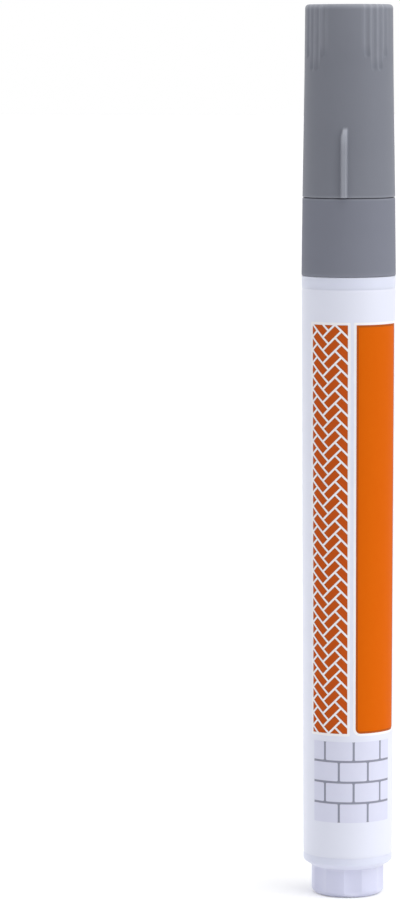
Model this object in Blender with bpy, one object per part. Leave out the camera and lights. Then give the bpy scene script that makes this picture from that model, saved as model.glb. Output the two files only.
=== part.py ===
# Felt marker with a pull-off cap, a pump valve behind the nib and a printed film on the barrel.
# It stands on its tail, with the axis on Z and the cap at the top. Sizes are in metres.
import math

import bmesh
import bpy
from mathutils import Matrix, Vector

MM = 0.001

# Fits
PRESS_GAP = 0.10 * MM  # radial gap between pressed pieces
SEAT_GAP = 0.10 * MM  # gap between faces that rest on each other
SLIDE_GAP = 0.20 * MM  # radial gap round a piece that slides

# Mixing ball and tail plug
BALL_DIAMETER = 5.5 * MM
BALL_CLEARANCE = 0.75 * MM  # radial room round the ball in the plug's cup
PLUG_WALL = 1.1 * MM
PLUG_FLOOR = 1.6 * MM
PLUG_SPIGOT_LENGTH = 5.5 * MM
TAIL_HEIGHT = 4.5 * MM
TAIL_STEP = 1.1 * MM  # how far the tail stands out past the spigot
TAIL_FILLET = 1.0 * MM
TAIL_FLUTE_COUNT = 6
TAIL_FLUTE_RADIUS = 20.0 * MM
TAIL_FLUTE_DEPTH = 0.236 * MM
TAIL_FLUTE_TURN = math.radians(6.6)  # bearing of the first flute

# Barrel and its film
BARREL_LENGTH = 93.32 * MM
BARREL_WALL = 1.44 * MM
BARREL_DRAFT = 0.34 * MM  # how much smaller the foot's radius is than the rim's
BARREL_FOOT_WALL = 2.6 * MM
FOOT_CHAMFER_WIDTH = 1.18 * MM
FOOT_CHAMFER_HEIGHT = 0.80 * MM
FILM_THICKNESS = 0.12 * MM
FILM_GAP = 0.04 * MM
FILM_BOTTOM_MARGIN = 2.0 * MM
FILM_TOP_MARGIN = 2.0 * MM

# Nib
NIB_DIAMETER = 5.0 * MM
NIB_BODY_LENGTH = 29.4 * MM
NIB_SLANT = math.radians(27.6)
NIB_SHOULDER_FILLET = 0.7 * MM
NIB_EDGE = 0.25 * MM
TENON_DIAMETER = 3.1 * MM
TENON_LENGTH = 6.2 * MM
NIB_STROKE = 2.5 * MM
NIB_OVERTRAVEL = 0.5 * MM

# Valve
STEM_DIAMETER = 2.0 * MM
STEM_TAIL_GAP = 0.9 * MM  # room under the stem's tail at full stroke
HEAD_THICKNESS = 1.2 * MM
HEAD_RIM = 0.9 * MM  # how far the head stands out past the spring
SPRING_CLEARANCE = 0.25 * MM
SPRING_WIRE = 0.5 * MM
SPRING_LENGTH = 8.0 * MM
SPRING_TURNS = 5
LIP_MARGIN = 0.6 * MM  # how far the sealing lip lies below the pressed tenon
SEAT_FLANGE = 1.4 * MM
SEAT_TUBE_WALL = 0.9 * MM
INK_PASSAGE = 0.95 * MM  # radial room round the valve's head
CAGE_WALL = 0.8 * MM
CAGE_FLOOR = 1.0 * MM
CAGE_OUTLET = 2.4 * MM  # diameter of the hole in the cage's floor
CAGE_PORT_COUNT = 4
CAGE_PORT_WIDTH = 1.8 * MM
CAGE_PORT_HEIGHT = 2.6 * MM

# Front section
SPIGOT_LENGTH = 7.0 * MM
SPIGOT_WALL = 1.3 * MM
SPIGOT_RELIEF = 0.12 * MM  # depth of the spigot's surface between its sealing beads
SPIGOT_BEAD = 1.0 * MM  # height of a sealing bead
COLLAR_HEIGHT = 12.0 * MM
COLLAR_STEP = 0.04 * MM  # how far the collar stands out past the barrel's rim
COLLAR_EDGE = 0.2 * MM
POCKET_RISE = 5.68 * MM  # from the collar's lower face up to the web
WEB_THICKNESS = 1.2 * MM
WEB_CLEARANCE = 0.7 * MM
NECK_LENGTH = 6.88 * MM
NECK_WALL = 1.35 * MM
NECK_BEAD = 0.12 * MM
NECK_BEAD_HEIGHT = 1.4 * MM
NECK_BEAD_RISE = 2.48 * MM  # from the shoulder to the bead's lower end

# Nib holder
NIB_CLEARANCE = 0.12 * MM
HOLDER_WALL = 1.78 * MM
HOLDER_TIP_WALL = 0.9 * MM
HOLDER_FLANGE = 1.0 * MM
HOLDER_FLANGE_INSET = 0.45 * MM
HOLDER_LAND = 2.0 * MM
HOLDER_CONE = 7.0 * MM
AIR_CHANNEL_COUNT = 4
AIR_CHANNEL_RADIUS = 0.4 * MM

# Cap
CAP_SEAM = 0.12 * MM
CAP_CLEARANCE = 0.10 * MM
CAP_WALL = 1.17 * MM
CAP_TOP = 1.7 * MM
CAP_HEADROOM = 1.4 * MM  # room over the nib's tip
CAP_BODY_DRAFT = 0.30 * MM
CAP_GRIP_DRAFT = 0.10 * MM
CAP_GRIP_LENGTH = 11.0 * MM
CAP_TOP_FILLET = 0.6 * MM
CAP_LIP_BEVEL = 0.12 * MM
CAP_LEAD_IN = 0.25 * MM  # rounding of the bore's mouth
CAP_TURN = math.radians(-8.0)
INNER_CAP_WALL = 0.75 * MM
INNER_CAP_TOP = 0.8 * MM
INNER_CAP_LIFT = 0.3 * MM  # gap from the holder's flange to the inner cap's mouth
GROOVE_GROUPS = 4
GROOVES_PER_GROUP = 4
GROOVE_PITCH = math.radians(10.3)
GROOVE_RADIUS = 0.62 * MM
GROOVE_DEPTH = 0.20 * MM
GROOVE_LENGTH = 10.3 * MM  # the middle grooves of a group
GROOVE_STAGGER = 2.0 * MM  # how much shorter the outer grooves are
RIB_WIDTH = 1.25 * MM
RIB_HEIGHT = 0.8 * MM
RIB_LENGTH = 10.6 * MM
RIB_RAMP = 1.5 * MM
RIB_EDGE = 0.3 * MM

# Roundness
OUTER_SIDES = 48
INNER_SIDES = 30
PIN_SIDES = 20
FLUTE_SIDES = 120

# Radii, worked out from the axis outwards
ball_r = BALL_DIAMETER / 2
cup_r = ball_r + BALL_CLEARANCE
plug_r = cup_r + PLUG_WALL
foot_bore_r = plug_r + PRESS_GAP
tail_r = plug_r + TAIL_STEP
stem_r = STEM_DIAMETER / 2
coil_r = stem_r + SPRING_CLEARANCE + SPRING_WIRE / 2
head_r = coil_r + SPRING_WIRE / 2 + HEAD_RIM
cage_bore_r = head_r + INK_PASSAGE
cage_r = cage_bore_r + CAGE_WALL
pocket_r = cage_r + PRESS_GAP
spigot_r = pocket_r + SPIGOT_WALL
bore_rim_r = spigot_r + PRESS_GAP
barrel_rim_r = bore_rim_r + BARREL_WALL
collar_r = barrel_rim_r + COLLAR_STEP
nib_r = NIB_DIAMETER / 2
tenon_r = TENON_DIAMETER / 2
seat_bore_r = tenon_r + SLIDE_GAP
seat_tube_r = seat_bore_r + SEAT_TUBE_WALL
web_r = nib_r + WEB_CLEARANCE
holder_bore_r = nib_r + NIB_CLEARANCE
land_r = holder_bore_r + HOLDER_WALL
neck_bore_r = land_r + PRESS_GAP
neck_r = neck_bore_r + NECK_WALL
neck_bead_r = neck_r + NECK_BEAD
cap_bore_r = neck_bead_r + CAP_CLEARANCE
cap_lip_r = cap_bore_r + CAP_WALL
cap_grip_r = cap_lip_r - CAP_BODY_DRAFT
cap_top_r = cap_grip_r - CAP_GRIP_DRAFT
inner_cap_bore_r = land_r + SLIDE_GAP
inner_cap_r = inner_cap_bore_r + INNER_CAP_WALL
cap_upper_bore_r = inner_cap_r + PRESS_GAP

# Heights, worked out from the foot upwards
barrel_foot_z = TAIL_HEIGHT + SEAT_GAP
barrel_rim_z = barrel_foot_z + BARREL_LENGTH
collar_z = barrel_rim_z + SEAT_GAP
shoulder_z = collar_z + COLLAR_HEIGHT
neck_rim_z = shoulder_z + NECK_LENGTH
web_z = collar_z + POCKET_RISE
web_top_z = web_z + WEB_THICKNESS
seat_top_z = web_z - SEAT_GAP
nib_shoulder_z = seat_top_z + NIB_STROKE + NIB_OVERTRAVEL
nib_tip_z = nib_shoulder_z + NIB_BODY_LENGTH
tenon_end_z = nib_shoulder_z - TENON_LENGTH
lip_z = tenon_end_z - NIB_STROKE - LIP_MARGIN
head_top_z = lip_z - SEAT_GAP
head_bottom_z = head_top_z - HEAD_THICKNESS
spring_top_z = head_bottom_z - SEAT_GAP
spring_bottom_z = spring_top_z - SPRING_LENGTH
cage_floor_z = spring_bottom_z - SEAT_GAP
cage_bottom_z = cage_floor_z - CAGE_FLOOR
cage_rim_z = seat_top_z - SEAT_FLANGE - SEAT_GAP
spigot_bottom_z = collar_z - SPIGOT_LENGTH
holder_bottom_z = web_top_z + SEAT_GAP
flange_z = neck_rim_z + SEAT_GAP
flange_top_z = flange_z + HOLDER_FLANGE
holder_tip_z = flange_top_z + HOLDER_LAND + HOLDER_CONE
cap_lip_z = shoulder_z + CAP_SEAM
inner_mouth_z = flange_top_z + INNER_CAP_LIFT
inner_ceiling_z = nib_tip_z + CAP_HEADROOM
inner_top_z = inner_ceiling_z + INNER_CAP_TOP
cap_ceiling_z = inner_top_z + SEAT_GAP
cap_top_z = cap_ceiling_z + CAP_TOP
cap_grip_z = cap_top_z - CAP_GRIP_LENGTH


def material(name, colour, roughness, metallic=0.0):
    made = bpy.data.materials.new(name)
    made.use_nodes = True
    shader = made.node_tree.nodes["Principled BSDF"]
    shader.inputs["Base Color"].default_value = (*colour, 1.0)
    shader.inputs["Roughness"].default_value = roughness
    shader.inputs["Metallic"].default_value = metallic
    return made


def outline(corners, closed, steps):
    # corners are (radius, height) or (radius, height, fillet)
    points = []
    count = len(corners)
    for i, corner in enumerate(corners):
        here = Vector(corner[:2])
        inner = closed or 0 < i < count - 1
        if len(corner) < 3 or not inner:
            points.append(here)
            continue
        before = Vector(corners[i - 1][:2]) - here
        after = Vector(corners[(i + 1) % count][:2]) - here
        half = before.angle(after) / 2
        reach = min(corner[2] / math.tan(half), 0.48 * before.length, 0.48 * after.length)
        radius = reach * math.tan(half)
        middle = (before.normalized() + after.normalized()).normalized() * (radius / math.sin(half)) + here
        start = here + before.normalized() * reach - middle
        end = here + after.normalized() * reach - middle
        sweep = start.angle_signed(end)
        for k in range(steps + 1):
            turn = -sweep * k / steps
            points.append(middle + Matrix.Rotation(turn, 2) @ start)
    return points


def turned_mesh(corners, closed, sides, steps=2):
    bm = bmesh.new()
    points = outline(corners, closed, steps)
    verts = [bm.verts.new((max(p.x, 0.0), 0.0, p.y)) for p in points]
    edges = [bm.edges.new(pair) for pair in zip(verts, verts[1:])]
    if closed:
        edges.append(bm.edges.new((verts[-1], verts[0])))
    bmesh.ops.spin(
        bm, geom=verts + edges, cent=(0, 0, 0), axis=(0, 0, 1), angle=math.tau, steps=sides, use_merge=True
    )
    bmesh.ops.remove_doubles(bm, verts=bm.verts, dist=1e-8)
    bmesh.ops.recalc_face_normals(bm, faces=bm.faces)
    return bm


def add_object(name, bm, look=None, parent=None, location=(0, 0, 0)):
    mesh = bpy.data.meshes.new(name)
    bm.to_mesh(mesh)
    bm.free()
    mesh.shade_smooth()
    mesh.set_sharp_from_angle(angle=math.radians(35))
    obj = bpy.data.objects.new(name, mesh)
    bpy.context.scene.collection.objects.link(obj)
    obj.location = location
    obj.parent = parent
    if look:
        mesh.materials.append(look)
    return obj


def add_tool(name, bm, target, operation, parent=None):
    tool = add_object(name, bm, parent=parent)
    tool.hide_render = True
    tool.display_type = "WIRE"
    step = target.modifiers.new(name, "BOOLEAN")
    step.operation = operation
    step.object = tool
    step.solver = "EXACT"
    return tool


def add_axis(name):
    axis = bpy.data.objects.new(name, None)
    bpy.context.scene.collection.objects.link(axis)
    return axis


def join(parts):
    whole = bmesh.new()
    for part in parts:
        mesh = bpy.data.meshes.new("piece")
        part.to_mesh(mesh)
        part.free()
        whole.from_mesh(mesh)
        bpy.data.meshes.remove(mesh)
    return whole


def upright(angle, radius, z):
    # a place at a bearing round the axis, 0 towards the front, with local X pointing outwards
    return Matrix.Rotation(angle - math.pi / 2, 4, "Z") @ Matrix.Translation((radius, 0, z))


def barrel_outer(z):
    share = (z - barrel_foot_z) / BARREL_LENGTH
    return barrel_rim_r - BARREL_DRAFT * (1 - share)


def make_tail_plug(look):
    corners = [
        (0, 0),
        (tail_r, 0, TAIL_FILLET),
        (tail_r, TAIL_HEIGHT),
        (plug_r, TAIL_HEIGHT),
        (plug_r, TAIL_HEIGHT + PLUG_SPIGOT_LENGTH, PLUG_WALL / 3),
        (cup_r, TAIL_HEIGHT + PLUG_SPIGOT_LENGTH),
        (cup_r, PLUG_FLOOR, BALL_CLEARANCE),
        (0, PLUG_FLOOR),
    ]
    plug = add_object("tail_plug", turned_mesh(corners, False, OUTER_SIDES, 3), look)
    cutters = []
    low = -TAIL_FILLET
    high = TAIL_HEIGHT + TAIL_FILLET
    for k in range(TAIL_FLUTE_COUNT):
        shape = [(0, low), (TAIL_FLUTE_RADIUS, low), (TAIL_FLUTE_RADIUS, high), (0, high)]
        cutter = turned_mesh(shape, False, FLUTE_SIDES)
        bearing = TAIL_FLUTE_TURN + math.tau * k / TAIL_FLUTE_COUNT
        place = upright(bearing, tail_r + TAIL_FLUTE_RADIUS - TAIL_FLUTE_DEPTH, 0)
        bmesh.ops.transform(cutter, matrix=place, verts=cutter.verts)
        cutters.append(cutter)
    add_tool("tail_flutes", join(cutters), plug, "DIFFERENCE")
    return plug


def make_barrel(look):
    film_low = barrel_foot_z + FILM_BOTTOM_MARGIN
    film_high = barrel_rim_z - FILM_TOP_MARGIN
    recess = FILM_THICKNESS + FILM_GAP
    foot_r = barrel_outer(barrel_foot_z)
    chamfer_z = barrel_foot_z + FOOT_CHAMFER_HEIGHT
    floor_z = barrel_foot_z + BARREL_FOOT_WALL
    corners = [
        (foot_bore_r, barrel_foot_z),
        (foot_r - FOOT_CHAMFER_WIDTH, barrel_foot_z),
        (barrel_outer(chamfer_z), chamfer_z, FOOT_CHAMFER_HEIGHT / 3),
        (barrel_outer(film_low), film_low),
        (barrel_outer(film_low) - recess, film_low),
        (barrel_outer(film_high) - recess, film_high),
        (barrel_outer(film_high), film_high),
        (barrel_rim_r, barrel_rim_z),
        (bore_rim_r, barrel_rim_z),
        (barrel_outer(floor_z) - BARREL_WALL, floor_z, BARREL_WALL / 2),
        (foot_bore_r, floor_z),
    ]
    return add_object("barrel", turned_mesh(corners, True, OUTER_SIDES), look)


def make_label_sleeve(look):
    low = barrel_foot_z + FILM_BOTTOM_MARGIN + FILM_GAP
    high = barrel_rim_z - FILM_TOP_MARGIN - FILM_GAP
    corners = [
        (barrel_outer(low) - FILM_THICKNESS, low),
        (barrel_outer(low), low),
        (barrel_outer(high), high),
        (barrel_outer(high) - FILM_THICKNESS, high),
    ]
    return add_object("label_sleeve", turned_mesh(corners, True, OUTER_SIDES), look)


def make_front_section(look):
    bead_low = shoulder_z + NECK_BEAD_RISE
    bead_high = bead_low + NECK_BEAD_HEIGHT
    relief_r = spigot_r - SPIGOT_RELIEF
    corners = [
        (pocket_r, spigot_bottom_z),
        (spigot_r, spigot_bottom_z, SPIGOT_WALL / 3),
        (spigot_r, spigot_bottom_z + SPIGOT_BEAD),
        (relief_r, spigot_bottom_z + SPIGOT_BEAD + SPIGOT_RELIEF),
        (relief_r, collar_z - SPIGOT_BEAD - SPIGOT_RELIEF),
        (spigot_r, collar_z - SPIGOT_BEAD),
        (spigot_r, collar_z),
        (collar_r, collar_z, COLLAR_EDGE),
        (cap_lip_r, shoulder_z, COLLAR_EDGE / 2),
        (neck_r, shoulder_z),
        (neck_r, bead_low),
        (neck_bead_r, (bead_low + bead_high) / 2),
        (neck_r, bead_high),
        (neck_r, neck_rim_z, NECK_WALL / 3),
        (neck_bore_r, neck_rim_z),
        (neck_bore_r, web_top_z),
        (web_r, web_top_z),
        (web_r, web_z),
        (pocket_r, web_z),
    ]
    return add_object("front_section", turned_mesh(corners, True, OUTER_SIDES), look)


def make_nib_holder(look):
    tip_r = holder_bore_r + HOLDER_TIP_WALL
    flange_r = neck_r - HOLDER_FLANGE_INSET
    corners = [
        (holder_bore_r, holder_bottom_z),
        (land_r, holder_bottom_z, HOLDER_WALL / 4),
        (land_r, flange_z),
        (flange_r, flange_z),
        (flange_r, flange_top_z, HOLDER_FLANGE / 4),
        (land_r, flange_top_z),
        (land_r, flange_top_z + HOLDER_LAND),
        (tip_r, holder_tip_z, HOLDER_TIP_WALL / 2),
        (holder_bore_r, holder_tip_z),
    ]
    holder = add_object("nib_holder", turned_mesh(corners, True, INNER_SIDES), look)
    channels = []
    for k in range(AIR_CHANNEL_COUNT):
        low = holder_bottom_z - HOLDER_FLANGE
        high = holder_tip_z + HOLDER_FLANGE
        shape = [(0, low), (AIR_CHANNEL_RADIUS, low), (AIR_CHANNEL_RADIUS, high), (0, high)]
        channel = turned_mesh(shape, False, PIN_SIDES // 2)
        place = upright(math.tau * (k + 0.5) / AIR_CHANNEL_COUNT, holder_bore_r, 0)
        bmesh.ops.transform(channel, matrix=place, verts=channel.verts)
        channels.append(channel)
    add_tool("air_channels", join(channels), holder, "DIFFERENCE")
    return holder


def make_nib(look, axis):
    corners = [
        (0, tenon_end_z),
        (tenon_r, tenon_end_z, tenon_r / 3),
        (tenon_r, nib_shoulder_z),
        (nib_r, nib_shoulder_z, NIB_SHOULDER_FILLET),
        (nib_r, nib_tip_z),
        (0, nib_tip_z),
    ]
    bm = turned_mesh(corners, False, PIN_SIDES + 4)
    normal = Vector((math.sin(NIB_SLANT), 0, math.cos(NIB_SLANT)))
    start = (0, 0, nib_tip_z - nib_r * math.tan(NIB_SLANT))
    cut = bmesh.ops.bisect_plane(
        bm, geom=bm.verts[:] + bm.edges[:] + bm.faces[:], plane_co=start, plane_no=normal, clear_outer=True
    )
    rim = [e for e in cut["geom_cut"] if isinstance(e, bmesh.types.BMEdge)]
    bmesh.ops.edgeloop_fill(bm, edges=rim)
    bmesh.ops.bevel(bm, geom=rim, offset=NIB_EDGE, segments=2, affect="EDGES", profile=0.5, material=-1)
    bmesh.ops.recalc_face_normals(bm, faces=bm.faces)
    return add_object("nib", bm, look, axis)


def make_valve_seat(look):
    corners = [
        (seat_bore_r, lip_z),
        (seat_tube_r, lip_z, SEAT_TUBE_WALL / 3),
        (seat_tube_r, seat_top_z - SEAT_FLANGE, SEAT_TUBE_WALL / 3),
        (cage_r, seat_top_z - SEAT_FLANGE),
        (cage_r, seat_top_z, SEAT_FLANGE / 4),
        (seat_bore_r, seat_top_z, SEAT_TUBE_WALL / 3),
    ]
    return add_object("valve_seat", turned_mesh(corners, True, INNER_SIDES), look)


def make_valve_stem(look, axis):
    tail_z = cage_floor_z + NIB_STROKE + STEM_TAIL_GAP
    corners = [
        (0, tail_z),
        (stem_r, tail_z, stem_r / 3),
        (stem_r, head_bottom_z),
        (head_r, head_bottom_z, HEAD_THICKNESS / 4),
        (head_r, head_top_z, HEAD_THICKNESS / 4),
        (stem_r, head_top_z),
        (stem_r, tenon_end_z - SEAT_GAP, stem_r / 3),
        (0, tenon_end_z - SEAT_GAP),
    ]
    return add_object("valve_stem", turned_mesh(corners, False, PIN_SIDES), look, axis)


def make_valve_spring(look):
    low = spring_bottom_z + SPRING_WIRE / 2
    high = spring_top_z - SPRING_WIRE / 2
    per_turn = 12
    count = SPRING_TURNS * per_turn + 1
    curve = bpy.data.curves.new("valve_spring", "CURVE")
    curve.dimensions = "3D"
    curve.bevel_depth = SPRING_WIRE / 2
    curve.bevel_resolution = 1
    curve.use_fill_caps = True
    line = curve.splines.new("POLY")
    line.points.add(count - 1)
    for k, point in enumerate(line.points):
        angle = math.tau * k / per_turn
        height = low + (high - low) * k / (count - 1)
        point.co = (coil_r * math.cos(angle), coil_r * math.sin(angle), height, 1.0)
    curve.materials.append(look)
    spring = bpy.data.objects.new("valve_spring", curve)
    bpy.context.scene.collection.objects.link(spring)
    return spring


def make_valve_cage(look):
    corners = [
        (CAGE_OUTLET / 2, cage_bottom_z),
        (cage_r, cage_bottom_z, CAGE_WALL / 2),
        (cage_r, cage_rim_z),
        (cage_bore_r, cage_rim_z),
        (cage_bore_r, cage_floor_z, CAGE_WALL / 4),
        (CAGE_OUTLET / 2, cage_floor_z),
    ]
    cage = add_object("valve_cage", turned_mesh(corners, True, INNER_SIDES), look)
    ports = []
    for k in range(CAGE_PORT_COUNT):
        port = bmesh.new()
        bmesh.ops.create_cube(port, size=1.0)
        size = Matrix.Diagonal((4 * CAGE_WALL, CAGE_PORT_WIDTH, CAGE_PORT_HEIGHT, 1.0))
        middle = cage_floor_z + CAGE_WALL / 2 + CAGE_PORT_HEIGHT / 2
        place = upright(math.tau * k / CAGE_PORT_COUNT, cage_r, middle)
        bmesh.ops.transform(port, matrix=place @ size, verts=port.verts)
        ports.append(port)
    add_tool("cage_ports", join(ports), cage, "DIFFERENCE")
    return cage


def make_mixing_ball(look):
    bm = bmesh.new()
    bmesh.ops.create_uvsphere(bm, u_segments=PIN_SIDES, v_segments=PIN_SIDES // 2, radius=ball_r)
    return add_object("mixing_ball", bm, look, location=(0, 0, PLUG_FLOOR + SEAT_GAP + ball_r))


def make_cap(shell_look, seal_look, axis):
    step_z = inner_mouth_z
    corners = [
        (cap_bore_r, cap_lip_z, CAP_LEAD_IN),
        (cap_lip_r, cap_lip_z, CAP_LIP_BEVEL),
        (cap_grip_r, cap_grip_z),
        (cap_top_r, cap_top_z, CAP_TOP_FILLET),
        (0, cap_top_z),
    ]
    inside = [
        (0, cap_ceiling_z),
        (cap_upper_bore_r, cap_ceiling_z, CAP_TOP / 4),
        (cap_upper_bore_r, step_z),
        (cap_bore_r, step_z),
    ]
    bm = turned_mesh(inside + corners, False, OUTER_SIDES, 3)
    shell = add_object("cap_shell", bm, shell_look, axis)

    rib = bmesh.new()
    low = cap_lip_z + CAP_LIP_BEVEL
    root = -CAP_WALL / 3
    ramp_z = RIB_LENGTH - RIB_RAMP
    side = [(root, 0), (RIB_HEIGHT, 0), (RIB_HEIGHT, ramp_z), (0, RIB_LENGTH), (root, RIB_LENGTH)]
    corner_verts = [rib.verts.new((x, -RIB_WIDTH / 2, z)) for x, z in side]
    face = rib.faces.new(corner_verts)
    grown = bmesh.ops.extrude_face_region(rib, geom=[face])
    moved = [v for v in grown["geom"] if isinstance(v, bmesh.types.BMVert)]
    bmesh.ops.translate(rib, vec=(0, RIB_WIDTH, 0), verts=moved)
    outer = [e for e in rib.edges if min(v.co.x for v in e.verts) >= 0]
    crest = [e for e in outer if e.verts[0].co.y == e.verts[1].co.y]
    bmesh.ops.bevel(rib, geom=crest, offset=RIB_EDGE, segments=2, affect="EDGES", profile=0.5, material=-1)
    lean = Matrix.Rotation(-math.atan2(CAP_BODY_DRAFT, cap_grip_z - cap_lip_z), 4, "Y")
    bmesh.ops.transform(rib, matrix=upright(0, cap_lip_r, low) @ lean, verts=rib.verts)
    bmesh.ops.recalc_face_normals(rib, faces=rib.faces)
    add_tool("cap_rib", rib, shell, "UNION", axis)

    cutters = []
    lean = Matrix.Rotation(-math.atan2(CAP_GRIP_DRAFT, CAP_GRIP_LENGTH), 4, "Y")
    middle = (GROOVES_PER_GROUP - 1) / 2
    for group in range(GROOVE_GROUPS):
        for k in range(GROOVES_PER_GROUP):
            outer = abs(k - middle) / middle
            length = GROOVE_LENGTH - GROOVE_STAGGER * (outer > 0.5)
            past = CAP_TOP
            shape = [
                (0, -length),
                (GROOVE_RADIUS, -length, GROOVE_RADIUS),
                (GROOVE_RADIUS, past),
                (0, past),
            ]
            cutter = turned_mesh(shape, False, PIN_SIDES // 2, 4)
            bearing = math.tau * (group + 0.5) / GROOVE_GROUPS + GROOVE_PITCH * (k - middle)
            place = upright(bearing, cap_top_r + GROOVE_RADIUS - GROOVE_DEPTH, cap_top_z)
            bmesh.ops.transform(cutter, matrix=place @ lean, verts=cutter.verts)
            cutters.append(cutter)
    add_tool("cap_grooves", join(cutters), shell, "DIFFERENCE", axis)

    cup = [
        (0, inner_ceiling_z),
        (inner_cap_bore_r, inner_ceiling_z, INNER_CAP_TOP / 2),
        (inner_cap_bore_r, inner_mouth_z, INNER_CAP_WALL / 4),
        (inner_cap_r, inner_mouth_z, INNER_CAP_WALL / 4),
        (inner_cap_r, inner_top_z, INNER_CAP_TOP / 2),
        (0, inner_top_z),
    ]
    add_object("inner_cap", turned_mesh(cup, False, INNER_SIDES), seal_look, axis)
    return shell


def main():
    for old in list(bpy.data.objects):
        bpy.data.objects.remove(old, do_unlink=True)
    grey = material("grey_cap_plastic", (0.195, 0.205, 0.245), 0.42)
    dark_grey = material("grey_front_plastic", (0.195, 0.205, 0.245), 0.45)
    white = material("white_barrel_plastic", (0.78, 0.79, 0.83), 0.40)
    tail_white = material("white_tail_plastic", (0.76, 0.77, 0.81), 0.42)
    film = material("printed_film", (0.80, 0.81, 0.85), 0.30)
    clear_seal = material("soft_seal_plastic", (0.70, 0.71, 0.70), 0.50)
    holder_white = material("holder_plastic", (0.76, 0.77, 0.78), 0.42)
    felt = material("yellow_felt", (0.78, 0.64, 0.13), 0.95)
    seat_white = material("valve_plastic", (0.70, 0.72, 0.72), 0.45)
    stem_white = material("stem_plastic", (0.72, 0.73, 0.74), 0.42)
    cage_white = material("cage_plastic", (0.68, 0.70, 0.70), 0.45)
    spring_steel = material("spring_steel", (0.55, 0.55, 0.57), 0.30, 1.0)
    ball_steel = material("ball_steel", (0.62, 0.62, 0.64), 0.18, 1.0)

    cap_axis = add_axis("cap_axis")
    cap_axis.rotation_euler.z = CAP_TURN
    nib_axis = add_axis("nib_axis")
    valve_axis = add_axis("valve_axis")
    make_tail_plug(tail_white)
    make_barrel(white)
    make_label_sleeve(film)
    make_front_section(dark_grey)
    make_nib_holder(holder_white)
    make_nib(felt, nib_axis)
    make_valve_seat(seat_white)
    make_valve_stem(stem_white, valve_axis)
    make_valve_spring(spring_steel)
    make_valve_cage(cage_white)
    make_mixing_ball(ball_steel)
    make_cap(grey, clear_seal, cap_axis)


main()
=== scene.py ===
# Grout marker, standing on its tail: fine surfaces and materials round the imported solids.
import math
import random

import bmesh
import bpy
from mathutils import Matrix, Vector


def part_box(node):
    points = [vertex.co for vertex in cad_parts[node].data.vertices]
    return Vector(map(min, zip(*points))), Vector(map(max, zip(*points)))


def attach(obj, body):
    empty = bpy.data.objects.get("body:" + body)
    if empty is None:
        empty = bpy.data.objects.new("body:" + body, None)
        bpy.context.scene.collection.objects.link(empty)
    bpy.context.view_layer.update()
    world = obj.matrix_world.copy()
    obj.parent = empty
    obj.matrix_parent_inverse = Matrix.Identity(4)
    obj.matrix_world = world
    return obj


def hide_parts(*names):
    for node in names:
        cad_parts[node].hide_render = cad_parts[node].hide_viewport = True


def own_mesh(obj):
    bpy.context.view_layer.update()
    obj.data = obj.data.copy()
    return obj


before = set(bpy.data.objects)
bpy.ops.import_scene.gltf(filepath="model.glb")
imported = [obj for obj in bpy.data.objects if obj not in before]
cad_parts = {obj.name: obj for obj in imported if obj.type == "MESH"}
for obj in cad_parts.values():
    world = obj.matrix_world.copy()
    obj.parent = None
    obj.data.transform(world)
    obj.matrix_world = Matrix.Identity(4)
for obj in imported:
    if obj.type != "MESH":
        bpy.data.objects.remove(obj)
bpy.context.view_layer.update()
mm = 0.001


def hexColour(text):
    # sRGB hex to linear, with alpha 1
    parts = [int(text[i : i + 2], 16) / 255 for i in (1, 3, 5)]
    return [c / 12.92 if c <= 0.04045 else ((c + 0.055) / 1.055) ** 2.4 for c in parts] + [1.0]


def addNode(tree, kind, links=None, **settings):
    # links gives an input either another node's output or a plain value
    node = tree.nodes.new(kind)
    for name, value in settings.items():
        setattr(node, name, value)
    for name, value in (links or {}).items():
        if isinstance(value, bpy.types.NodeSocket):
            tree.links.new(value, node.inputs[name])
        else:
            node.inputs[name].default_value = value
    return node


def newMaterial(name):
    made = bpy.data.materials.new(name)
    made.use_nodes = True
    tree = made.node_tree
    return made, tree, tree.nodes["Principled BSDF"], addNode(tree, "ShaderNodeTexCoord")


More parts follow.
